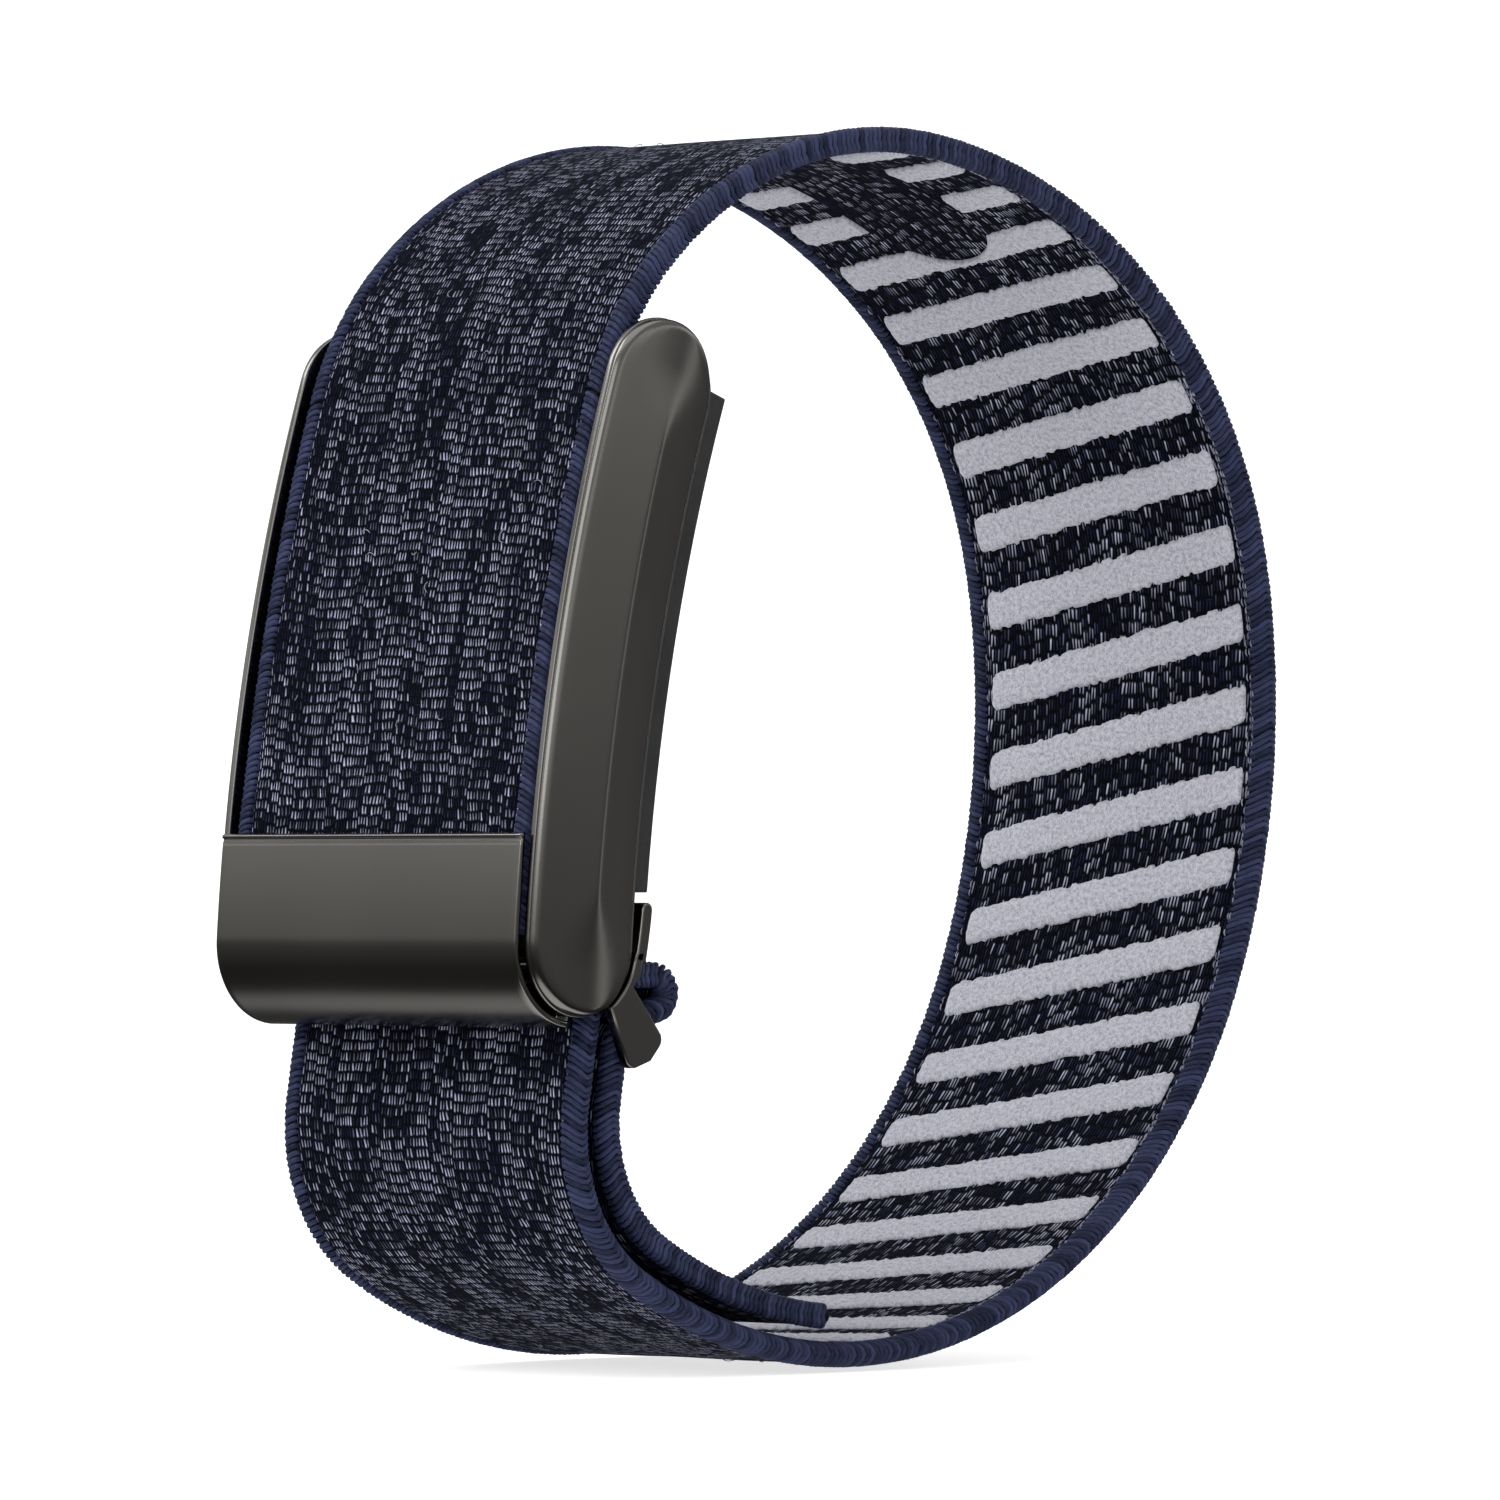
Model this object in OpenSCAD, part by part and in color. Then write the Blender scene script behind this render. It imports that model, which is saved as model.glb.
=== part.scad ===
// Fitness tracker band: a sensor pod in a metal cradle, on a fabric strap closed by a lift clasp.
// X runs along the wrist, -Y is the outer face of the tracker and Z is up.
// The origin is the middle of the wrist opening.

/* [Strap] */
// Width of the strap
strap_w = 25; // [24:0.1:25.2]
// Thickness of the woven webbing
web_t = 1.1; // [0.9:0.05:1.2]
// Thickness of the overlocked binding along each edge
binding_t = 1.5; // [1.3:0.05:1.5]
// Width of the binding on the face of the strap
binding_w = 1.2; // [1:0.1:1.6]
// Width of one raised grip stripe
stripe_w = 2.35; // [1.5:0.05:3]
// Spacing of the grip stripes along the strap
stripe_pitch = 5.05; // [4:0.05:5.1]
// Height of a grip stripe above the webbing
stripe_t = 0.25; // [0.1:0.05:0.3]
// Number of grip stripes
stripe_count = 31; // [10:1:31]
// Slant of the grip stripes
stripe_slant = 10.8; // [0:0.1:15]

/* [Cradle] */
// Radius that the tracker bends to, along the arm
bend_r = 125; // [125:1:130]
// Lean of the tracker, its top towards the wrist
tilt = 11.3; // [11.3:0.1:11.3]
// Length of the cradle's side rails
rail_len = 41; // [41:0.5:42]
// Depth of the side rails
rail_depth = 8.15; // [8.1:0.05:8.2]
// Half of the width across the ridges of the two rails
rail_half_w = 14.15; // [14:0.05:14.6]

/* [Clasp] */
// Thickness of the clasp cover
cover_t = 0.4; // [0.35:0.05:0.45]
// Height of the clasp cover's upper edge
cover_top_z = -5.1; // [-6:0.1:-4]
// Diameter of the clasp's hinge pin
pin_d = 0.9; // [0.8:0.05:1]

/* [Pod] */
// Half of the pod's width
pod_half_w = 12.6; // [12.3:0.05:12.65]
// Wall of the pod's front shell
pod_wall = 0.8; // [0.6:0.05:1]
// Diameter of the optical window
window_d = 9; // [8:0.5:10]
// Diameter of the vibration motor
haptic_d = 8; // [7:0.5:8]

/* [Hidden] */
$fn = 64;

navy = [0.13, 0.17, 0.29];
plush = [0.78, 0.78, 0.82];
gunmetal = [0.26, 0.25, 0.24];
steel = [0.6, 0.6, 0.62];

// The tracker's middle on the rails' mean line, and the centre that everything in it bends about.
pod_mid = [-25, 4.75];
bend_y = pod_mid[0] + bend_r * cos(tilt);
bend_z = pod_mid[1] - bend_r * sin(tilt);
deg = 180 / (PI * bend_r);
rail_mid_r = bend_r - 0.25;
rail_in = rail_mid_r - rail_depth / 2;
rail_out = rail_mid_r + rail_depth / 2;
rail_round = rail_depth / 2;
rail_flat = rail_len / 2 - rail_round;
rail_ridge_r = bend_r - 0.5;

// Across the wrist: the strap, then the tray's flange, then the side rail.
strap_half = strap_w / 2;
web_half = strap_half - binding_w;
flange_in = 12.8;
flange_out = 13.2;
rail_edge_in = 13.4;
rail_edge_out = 13.55;
cover_half = 12.7;
knuckle_half = 12.5;
pin_half = 13.5;

// Radii through the tracker, from the wrist outwards.
pod_back_r = 119.05;
pod_split_r = 120.6;
gasket_t = 0.25;
pod_front_r = 125.7;
tray_web_r = 126;
tray_web_t = 0.5;
tray_web_lo = 4.9;
tray_web_hi = 19.3;
strap_r = 128;
cover_lift = 0.3;
lift_from = 9;
pod_lo = 5.4;
pod_hi = 19.6;
pod_c = (pod_lo + pod_hi) / 2;
board_r = pod_split_r + 0.5;
board_top = board_r + 0.6;
tape_top = board_top + 0.15;

// The bar at the top of the cradle: its radius and angle about the tracker's bend, and its diameter.
cross_r = 126.2;
cross_phi = 19.9;
cross_d = 1.4;

// The strap's route in the YZ plane, as [length, clockwise turn] pieces from where it leaves the
// tracker: round the wrist, up through the buckle, round its middle bar, and back as the tail.
leave_phi = 18.2;
first_stripe = 14.1;
tongue_w = 9.7;
tongue_from = 24;
tongue_to = 50.1;
ring_route = [[9.95, 28.8], [24.5, 50], [19.5, 31.5], [22, 43], [23.5, 30], [61, 98.5], [12, 69], [6.4, 2]];
loop_route = [[1.6, 74], [3.9, 3], [3.05, 168], [1.95, 0], [2.2, -66]];
tail_route = [[3.3, -1], [10, -69], [14.4, -24.4]];
strap_start = [bend_y - strap_r * cos(leave_phi), bend_z + strap_r * sin(leave_phi), 90 - leave_phi];

// Clasp: the hinge pin, the buckle's pin and bars, and where the strap's fixed end is clamped.
clasp_axis = [-27.4, -14.6];
knuckle_r = 0.95;
cover_gap = 0.3;
hem_d = 0.55;
tab_outline = [[-0.9, -1.45], [0.1, -1.5], [0.3, -0.5], [-0.6, -0.6]];
buckle_axis = [-25.2, -12.3];
buckle_pin_d = 1.1;
mid_bar = [-22.5, -15.0];
low_bar = [-21.5, -17.45];
bar_d = 0.55;
flange_tip_near = [-21.25, -17];
flange_tip_far = [-22.85, -18];
flange_tip_r = 0.65;
flange_t = 0.7;
buckle_half = 12.75;
bar_end = buckle_half + 0.4;
hook_top = [-21.75, -9.5, -97];
hook_len = 3.1;
hook_turn = 6;
ear_x = 11.2;
ear_t = 0.8;
ear_r = 0.75;
clamp_r = 127.25;
clamp_t = 0.4;
clamp_half = 11.1;
clamp_from = 4.3;
clamp_to = 5.5;
rivet_t = 0.15;

// The pose [y, z, heading] after going some way along a bend that turns clockwise by turn.
function go(p, length, turn) = turn == 0
    ? [p[0] + length * cos(p[2]), p[1] + length * sin(p[2]), p[2]]
    : let (r = length / (turn * PI / 180), h = p[2] - turn)
        [p[0] + r * (sin(p[2]) - sin(h)), p[1] - r * (cos(p[2]) - cos(h)), h];

// The pose at a distance along a route.
function along(route, p, dist, i = 0) =
    (i == len(route) - 1 || dist <= route[i][0])
        ? go(p, dist, route[i][1] * dist / route[i][0])
        : along(route, go(p, route[i][0], route[i][1]), dist - route[i][0], i + 1);

// Every pose needed to draw a route, about one for each 5 degrees of turn.
function poses(route, p, i = 0) = i == len(route) ? [p]
    : let (n = ceil(abs(route[i][1]) / 5) + 1, part = route[i])
        concat([for (k = [0 : n - 1]) go(p, part[0] * k / n, part[1] * k / n)],
            poses(route, go(p, part[0], part[1]), i + 1));

// The poses of a short stretch of a route.
function stretch(route, p, from, to, n) =
    [for (k = [0 : n]) along(route, p, from + (to - from) * k / n)];

// A point beside a pose, to its left when off is positive.
function beside(q, off) = [q[0] - off * sin(q[2]), q[1] + off * cos(q[2])];

// A point at a radius and an angle about the tracker's bend.
function bent(r, phi) = [bend_y - r * cos(phi), bend_z + r * sin(phi)];

// A closed band between two offsets from a list of poses.
module band(list, low, high) {
    polygon(concat([for (q = list) beside(q, low)],
        [for (i = [len(list) - 1 : -1 : 0]) beside(list[i], high)]));
}

// Turns a YZ outline into a solid from x0 to x1.
module across(x0, x1) {
    translate([x0, 0, 0]) rotate([90, 0, 90]) linear_extrude(x1 - x0) children();
}

// A stretch of a ring about the tracker's bend, between two radii and two angles.
module sector(r0, r1, phi0, phi1) {
    translate([bend_y, bend_z])
        intersection() {
            difference() {
                circle(r1, $fn = 360);
                circle(r0, $fn = 360);
            }
            polygon([[0, 0], 1.2 * r1 * [-cos(phi0), sin(phi0)], 1.2 * r1 * [-cos(phi1), sin(phi1)]]);
        }
}

// Places children on the tracker: X across, Y up along it and Z outwards.
module on_pod(phi, r) {
    translate([0, bent(r, phi)[0], bent(r, phi)[1]]) rotate([90 - phi, 0, 0]) children();
}

// A box on the tracker, from low to high in the frame of on_pod at the pod's middle.
module pod_box(low, high) {
    on_pod(pod_c, 0) translate(low) cube(high - low);
}

// A round pin along X.
module rod(at, d, x0, x1) {
    translate([x0, at[0], at[1]]) rotate([0, 90, 0]) cylinder(d = d, h = x1 - x0);
}

// The side view of the cradle: a bent strip with fully round ends.
module cradle_outline(grow) {
    sector(rail_in - grow, rail_out + grow, tilt - rail_flat * deg, tilt + rail_flat * deg);
    for (s = [-rail_flat, rail_flat])
        translate(bent(rail_mid_r, tilt + s * deg)) circle(rail_round + grow);
}

module strap_web() {
    list = poses(concat(ring_route, loop_route, tail_route), strap_start);
    color(navy) across(-web_half, web_half) band(list, -web_t / 2, web_t / 2);
}

// The sewn edge of the strap, which wraps the webbing's edge.
module binding(x0, x1) {
    list = poses(concat(ring_route, loop_route, tail_route), strap_start);
    color(navy) across(x0, x1) band(list, -binding_t / 2, binding_t / 2);
}

module binding_left() {
    binding(-strap_half, -web_half);
}

module binding_right() {
    binding(web_half, strap_half);
}

// The slanted block that cuts one stripe out of the layer of pile.
module stripe_block(dist) {
    q = along(ring_route, strap_start, dist);
    translate([0, q[0], q[1]]) rotate([q[2], 0, 0]) rotate([0, 0, -stripe_slant])
        cube([2 * strap_w, stripe_w, 8], center = true);
}

// The plain woven tongue at the top of the wrist, round at one end, where the pile is left out.
module plain_tongue() {
    q = along(ring_route, strap_start, tongue_to - tongue_w / 2);
    list = stretch(ring_route, strap_start, tongue_from, tongue_to - tongue_w / 2, 12);
    across(-tongue_w / 2, tongue_w / 2) band(list, -3, 0);
    translate([0, q[0], q[1]]) rotate([q[2], 0, 0]) translate([0, 0, -3]) cylinder(d = tongue_w, h = 3);
}

// The raised stripes of pile on the face that meets the wrist.
module grip_stripes() {
    half_len = web_half - 0.55;
    color(plush) difference() {
        intersection() {
            across(-half_len, half_len)
                band(poses(ring_route, strap_start), -web_t / 2 - stripe_t, -web_t / 2);
            for (i = [0 : stripe_count - 1]) stripe_block(first_stripe + i * stripe_pitch);
        }
        plain_tongue();
    }
}

// The strap over the tracker's face: along the tray, then a little outwards into the clasp cover.
function front_poses() = concat(
    [for (phi = [leave_phi : -1 : lift_from + 1]) [bent(strap_r, phi)[0], bent(strap_r, phi)[1], -90 - phi]],
    [for (k = [0 : 5]) let (phi = lift_from - k, lift = cover_lift * (1 - cos(36 * k)) / 2)
        [bent(strap_r + lift, phi)[0], bent(strap_r + lift, phi)[1], -90 - phi]]);

module strap_front_panel() {
    color(navy) across(-web_half, web_half) band(front_poses(), -web_t / 2, web_t / 2);
}

module front_bindings() {
    color(navy) for (x = [-strap_half, web_half])
        across(x, x + binding_w) band(front_poses(), -binding_t / 2, binding_t / 2);
}

// The channel that holds the pod on one side and the strap on the other.
module cradle_tray() {
    color(gunmetal) difference() {
        union() {
            for (x = [-flange_out, flange_in])
                across(x, x + flange_out - flange_in) cradle_outline(0);
            across(-flange_out, flange_out)
                sector(tray_web_r, tray_web_r + tray_web_t, tray_web_lo, tray_web_hi);
        }
        rod(clasp_axis, pin_d, -15, 15);
        rod(buckle_axis, buckle_pin_d, -15, 15);
        rod(bent(cross_r, cross_phi), cross_d, -15, 15);
    }
}

// A side rail, widest along a ridge and leaning in to its front and back edges.
module side_rail_right() {
    section = [[rail_in - 1, flange_out], [rail_in - 1, rail_edge_in - 0.2], [rail_ridge_r, rail_half_w],
        [rail_out + 0.1, rail_edge_out], [rail_out + 0.1, flange_out]];
    reach = rail_len / 2 * deg + 0.5;
    color(gunmetal) difference() {
        intersection() {
            translate([0, bend_y, bend_z]) rotate([90, 0, 90]) rotate([0, 0, 180 - tilt - reach])
                rotate_extrude(angle = 2 * reach, $fn = 360) polygon(section);
            across(flange_out, 15) cradle_outline(0);
        }
        rod(clasp_axis, pin_d, 0, pin_half);
        rod(buckle_axis, buckle_pin_d, 0, pin_half);
        rod(bent(cross_r, cross_phi), cross_d, 0, pin_half);
    }
}

module side_rail_left() {
    mirror([1, 0, 0]) side_rail_right();
}

// The bar that the strap rolls over as it leaves the tracker.
module top_crossbar() {
    color(steel) rod(bent(cross_r, cross_phi), cross_d, -pin_half, pin_half);
}

// A thin J round the cradle's lower end, with a hemmed upper edge and a hinge knuckle.
module clasp_cover() {
    hem = bent(rail_out + cover_gap + cover_t / 2, asin((cover_top_z - bend_z) / rail_out));
    color(gunmetal) difference() {
        union() {
            across(-cover_half, cover_half) difference() {
                cradle_outline(cover_gap + cover_t);
                cradle_outline(cover_gap);
                translate([-60, cover_top_z]) square([80, 80]);
                translate([clasp_axis[0] + 0.1, -30]) square([40, 60]);
            }
            rod(hem, hem_d, -cover_half, cover_half);
            rod(clasp_axis, 2 * knuckle_r, -knuckle_half, knuckle_half);
            across(-knuckle_half, knuckle_half) translate(clasp_axis) polygon(tab_outline);
        }
        rod(clasp_axis, pin_d + 0.06, -15, 15);
    }
}

module clasp_pin() {
    color(steel) rod(clasp_axis, pin_d, -pin_half, pin_half);
}

// The strip inside the clasp cover that clamps the strap's fixed end.
module strap_clamp_bar() {
    color(steel) across(-clamp_half, clamp_half) sector(clamp_r, clamp_r + clamp_t, clamp_from, clamp_to);
}

module clamp_rivets() {
    color(steel) for (x = [-8, 0, 8])
        on_pod((clamp_from + clamp_to) / 2, clamp_r - rivet_t)
            translate([x, 0, 0]) cylinder(d = 1.2, h = rivet_t);
}

// The hook plate behind the cradle, with the side flanges of the strap adjuster.
module buckle_frame() {
    outer = buckle_half + flange_t;
    color(gunmetal) difference() {
        union() {
            across(-outer, outer) band([for (k = [0 : 6]) go(hook_top, hook_len * k / 6, hook_turn * k / 6)],
                -0.4, 0.4);
            for (x = [-outer, buckle_half]) across(x, x + flange_t) flange_outline();
            for (x = [-ear_x - ear_t, ear_x]) across(x, x + ear_t) ear_outline();
        }
        rod(buckle_axis, buckle_pin_d, -14, 14);
        rod(mid_bar, bar_d, -bar_end, bar_end);
        rod(low_bar, bar_d, -bar_end, bar_end);
    }
}

// Points on an arc about a centre, between two angles.
function arc(centre, radius, from, to) =
    [for (k = [0 : 6]) let (a = from + (to - from) * k / 6) centre + radius * [cos(a), sin(a)]];

// The side view of the strap adjuster: a strip from behind the cradle, with a rounded end below it.
module flange_outline() {
    cradle_low = bent(rail_mid_r, tilt - rail_flat * deg);
    polygon(concat([[-22.65, -12], [-22, -12], [-22.3, -13.4], [-22.9, -13.9]],
        arc(flange_tip_near, flange_tip_r, 39, -50), arc(flange_tip_far, flange_tip_r, -65, -151),
        arc(cradle_low, rail_round + 0.15, -59, -14)));
}

// A lug that reaches from the hook plate into the cradle, round the buckle's pin.
module ear_outline() {
    translate(buckle_axis) circle(ear_r);
    translate(buckle_axis - [0, 0.35]) square([3.0, 1.1]);
}

module buckle_bars() {
    color(steel) {
        rod(mid_bar, bar_d, -bar_end, bar_end);
        rod(low_bar, bar_d, -bar_end, bar_end);
    }
}

module buckle_pin() {
    color(steel) rod(buckle_axis, buckle_pin_d, -pin_half, pin_half);
}

// The pod's tub, open towards the wrist.
module pod_front_shell() {
    edge = pod_wall * deg;
    color([0.12, 0.12, 0.13]) difference() {
        across(-pod_half_w, pod_half_w) sector(pod_split_r + gasket_t, pod_front_r, pod_lo, pod_hi);
        across(-pod_half_w + pod_wall, pod_half_w - pod_wall)
            sector(pod_split_r - 1, pod_front_r - pod_wall, pod_lo + edge, pod_hi - edge);
    }
}

module pod_back_cover() {
    color([0.12, 0.12, 0.13]) difference() {
        across(-pod_half_w, pod_half_w) sector(pod_back_r, pod_split_r, pod_lo, pod_hi);
        on_pod(pod_c, pod_back_r - 1) cylinder(d = window_d + 0.02, h = 3);
        on_pod(pod_lo + 3, pod_back_r - 1) for (x = contact_x()) translate([x, 0, 0]) cylinder(d = 1.6, h = 3);
        on_pod(pod_hi - 2.6, pod_back_r - 1) cylinder(d = 3.2, h = 3);
    }
}

function contact_x() = [-3, 0, 3];

module pod_gasket() {
    lip = 0.6;
    color([0.2, 0.2, 0.2]) difference() {
        across(-pod_half_w, pod_half_w) sector(pod_split_r, pod_split_r + gasket_t, pod_lo, pod_hi);
        across(-pod_half_w + lip, pod_half_w - lip)
            sector(pod_split_r - 1, pod_split_r + 1, pod_lo + lip * deg, pod_hi - lip * deg);
    }
}

module optical_window() {
    color([0.05, 0.06, 0.08]) on_pod(pod_c, pod_back_r + 0.1) cylinder(d = window_d, h = 0.7);
}

// The opaque ring that keeps the lamps' light from the sensors.
module light_baffle() {
    color([0.1, 0.1, 0.1]) on_pod(pod_c, pod_back_r + 0.8) difference() {
        cylinder(d = window_d - 0.4, h = 0.9);
        translate([0, 0, -1]) cylinder(d = window_d - 1.2, h = 3);
    }
    color([0.1, 0.1, 0.1]) on_pod(pod_c, pod_back_r + 0.8) difference() {
        cylinder(d = 4.4, h = 0.9);
        translate([0, 0, -1]) cylinder(d = 3.8, h = 3);
    }
}

module led_cluster() {
    color([0.2, 0.8, 0.3]) on_pod(pod_c, pod_back_r + 1.1)
        for (x = [-0.8, 0.8]) for (y = [-0.8, 0.8]) translate([x - 0.5, y - 0.5, 0]) cube([1, 1, 0.6]);
}

module photodiodes() {
    color([0.3, 0.3, 0.35]) on_pod(pod_c, pod_back_r + 1.1)
        for (a = [0 : 90 : 270]) rotate([0, 0, a]) translate([2.5, -0.6, 0]) cube([1.2, 1.2, 0.6]);
}

module skin_temp_contact() {
    color(steel) on_pod(pod_hi - 2.6, pod_back_r + 0.05) cylinder(d = 3.2, h = 1.1);
}

module charging_contacts() {
    color([0.85, 0.7, 0.35]) on_pod(pod_lo + 3, pod_back_r + 0.05)
        for (x = contact_x()) translate([x, 0, 0]) cylinder(d = 1.6, h = 1.1);
}

module main_pcb() {
    color([0.05, 0.3, 0.2]) pod_box([-10.8, -13, board_r], [10.8, 13, board_top]);
}

module shield_can() {
    color(steel) pod_box([0.5, -12, board_top], [10, -3.5, board_top + 1.2]);
}

module battery_tape() {
    color([0.9, 0.9, 0.85]) pod_box([-10, -2, board_top], [10, 11.4, tape_top]);
}

module battery_cell() {
    color([0.7, 0.7, 0.75]) pod_box([-10, -2, tape_top], [10, 11.4, tape_top + 2]);
}

// The strip that joins the battery to the circuit board.
module battery_flex() {
    color([0.8, 0.5, 0.15]) {
        pod_box([-2, 11.4, board_top + 0.1], [2, 11.6, board_top + 1.3]);
        pod_box([-2, 11.4, board_top], [2, 12.8, board_top + 0.1]);
    }
}

// The motor's can, open at its front, on the circuit board.
module haptic_case() {
    color(steel) motor() difference() {
        cylinder(d = haptic_d, h = 2.2);
        translate([0, 0, 0.2]) cylinder(d = haptic_d - 0.5, h = 1.8);
    }
}

// Places children on the circuit board at the motor's axis.
module motor() {
    on_pod(pod_c, 0) translate([-5.8, -7.6, board_top]) children();
}

// The flat spring that carries the motor's mass.
module haptic_spring() {
    color(steel) motor() translate([0, 0, 1.75]) difference() {
        cylinder(d = haptic_d - 0.9, h = 0.1);
        translate([0, 0, -1]) cylinder(d = haptic_d - 3, h = 3);
    }
}

module haptic_mass() {
    color([0.4, 0.4, 0.42]) motor() translate([0, 0, 0.55]) cylinder(d = haptic_d - 1.4, h = 0.9);
}

module antenna() {
    color([0.8, 0.5, 0.15]) across(-9, 9)
        sector(pod_front_r - pod_wall - 0.2, pod_front_r - pod_wall, pod_hi - 1.4, pod_hi - 0.6);
}

strap_web();
binding_left();
binding_right();
grip_stripes();
strap_front_panel();
front_bindings();
cradle_tray();
side_rail_left();
side_rail_right();
top_crossbar();
clasp_cover();
clasp_pin();
strap_clamp_bar();
clamp_rivets();
buckle_frame();
buckle_bars();
buckle_pin();
pod_front_shell();
pod_back_cover();
pod_gasket();
optical_window();
light_baffle();
led_cluster();
photodiodes();
skin_temp_contact();
charging_contacts();
main_pcb();
shield_can();
battery_cell();
battery_tape();
battery_flex();
haptic_case();
haptic_spring();
haptic_mass();
antenna();
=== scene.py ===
import math

import bmesh
import bpy
import numpy as np
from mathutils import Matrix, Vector


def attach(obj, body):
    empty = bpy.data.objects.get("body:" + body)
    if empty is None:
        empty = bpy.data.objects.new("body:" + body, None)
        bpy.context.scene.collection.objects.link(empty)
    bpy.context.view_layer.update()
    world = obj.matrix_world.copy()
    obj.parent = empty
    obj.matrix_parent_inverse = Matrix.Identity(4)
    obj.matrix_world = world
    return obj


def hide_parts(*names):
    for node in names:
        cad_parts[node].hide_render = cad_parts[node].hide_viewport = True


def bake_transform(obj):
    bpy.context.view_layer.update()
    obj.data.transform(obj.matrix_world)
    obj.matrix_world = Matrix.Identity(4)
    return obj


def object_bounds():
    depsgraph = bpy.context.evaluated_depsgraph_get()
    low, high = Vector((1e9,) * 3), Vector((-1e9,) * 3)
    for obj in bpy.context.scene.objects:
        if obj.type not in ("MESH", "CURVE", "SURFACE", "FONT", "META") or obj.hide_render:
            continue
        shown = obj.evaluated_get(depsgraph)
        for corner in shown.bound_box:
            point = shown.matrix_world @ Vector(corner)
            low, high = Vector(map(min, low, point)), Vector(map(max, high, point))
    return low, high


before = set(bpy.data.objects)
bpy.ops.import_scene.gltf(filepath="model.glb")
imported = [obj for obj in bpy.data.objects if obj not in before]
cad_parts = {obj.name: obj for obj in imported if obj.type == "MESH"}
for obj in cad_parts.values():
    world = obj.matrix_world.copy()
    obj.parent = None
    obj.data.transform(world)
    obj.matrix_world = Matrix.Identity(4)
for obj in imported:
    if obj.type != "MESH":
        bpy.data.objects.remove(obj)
cad_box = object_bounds()
rng = np.random.default_rng(7)

# Sizes are in millimetres, in the frame's axes: X along the wrist, -Y the tracker's face, Z up.
MM = 0.001

# The strap: half widths to its rim and to where the webbing meets the sewn edge, and thicknesses.
# The webbing goes on under the sewn edge for WEB_TUCK, where it thins by WEB_THIN on each face.
STRAP_HALF = 12.5
WEB_HALF = 11.3
WEB_TUCK = 0.35
WEB_THIN = 0.12
WEB_T = 1.1
EDGE_T = 1.5

# The sewn edge: the distance between its threads, and a thread's radius. EDGE_ROOT is how far
# out of WEB_HALF the threads begin to turn over the rim, and CHEVRON how far they slant.
EDGE_PITCH = 0.38
EDGE_R = 0.172
EDGE_ROOT = 0.3
CHEVRON = 0.62

# The tracker bends about a line along X, and the strap runs over it at STRAP_R.
# The tracker's middle is at POD_MID (y, z), TILT round the bend. The strap leaves at LEAVE, and
# from LIFT_FROM down it rises by COVER_LIFT over LIFT_SPAN, to meet the cover.
BEND_R = 125.0
TILT = math.radians(11.3)
POD_MID = (-25.0, 4.75)
BEND_Y = POD_MID[0] + BEND_R * math.cos(TILT)
BEND_Z = POD_MID[1] - BEND_R * math.sin(TILT)
STRAP_R = 128.0
LEAVE = math.radians(18.2)
COVER_LIFT = 0.3
LIFT_FROM = math.radians(9.0)
LIFT_SPAN = math.radians(5.0)
FRONT_LENGTH = STRAP_R * math.radians(14.2)

# The strap's route from where it leaves the tracker, in pieces of (length, clockwise degrees):
# round the wrist, round the adjuster's middle bar, and back down inside itself as the tail.
RING = [(9.95, 28.8), (24.5, 50), (19.5, 31.5), (22, 43), (23.5, 30), (61, 98.5), (12, 69), (6.4, 2)]
LOOP = [(1.6, 74), (3.9, 3), (3.05, 168), (1.95, 0), (2.2, -66)]
TAIL = [(3.3, -1), (10, -69), (14.4, -24.4)]

# Grip stripes on the face that meets the wrist. They span STRIPE_X, at STRIPE_PITCH along the
# strap, and leave out a plain woven tongue of half width TONGUE_R with a round end.
STRIPE_W = 2.45
STRIPE_PITCH = 5.05
STRIPE_COUNT = 31
FIRST_STRIPE = 14.1
STRIPE_SLANT = math.tan(math.radians(10.8))
STRIPE_X = (-10.7, 10.85)
PILE_H = 0.32
TONGUE_R = 4.85
TONGUE_FROM = 24.0
TONGUE_TO = 50.1

# The cradle's side view is a strip, bent like the tracker, with round ends of radius RAIL_R.
# Places on it are a, up along the bend, and b, outwards from BEND_R (towards the face).
RAIL_END = 20.5
RAIL_R = 4.075
RAIL_FLAT = RAIL_END - RAIL_R
RAIL_MID_B = -0.25

# A rail's outer face slopes down from a ridge, at (RIDGE_B, RIDGE_X), to a rounded rim. The
# ridge is RIDGE_SOFT wide, and grows softer by RIDGE_FADE over the last stretch of the rail.
RIDGE_B = -0.5
RIDGE_X = 14.15
FRONT_SLOPE = 0.6 / 4.425
BACK_SLOPE = 0.95 / 4.325
RIDGE_SOFT = 0.06
RIDGE_FADE = 0.75
FADE_FROM = RAIL_END - 7.5
FADE_LENGTH = 5.0
RIM_ROUND = 0.42

# The tray's flanges, from one half width to the other, and the web that joins them.
FLANGE_IN = 12.8
FLANGE_OUT = 13.2
FLANGE_PROUD = 0.1
FLANGE_BACK_CUT = 0.75
TRAY_WEB_B = (1.0, 1.5)
TRAY_WEB_PHI = (math.radians(4.9), math.radians(19.3))

# The clasp's cover is COVER_GAP off the rails' outline; its pin is at CLASP_AXIS (y, z).
COVER_HALF = 12.7
COVER_T = 0.4
COVER_GAP = 0.3
COVER_TOP_Z = -5.1
CLASP_AXIS = (-27.4, -14.6)
KNUCKLE_HALF = 12.5
KNUCKLE_R = 0.95

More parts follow.
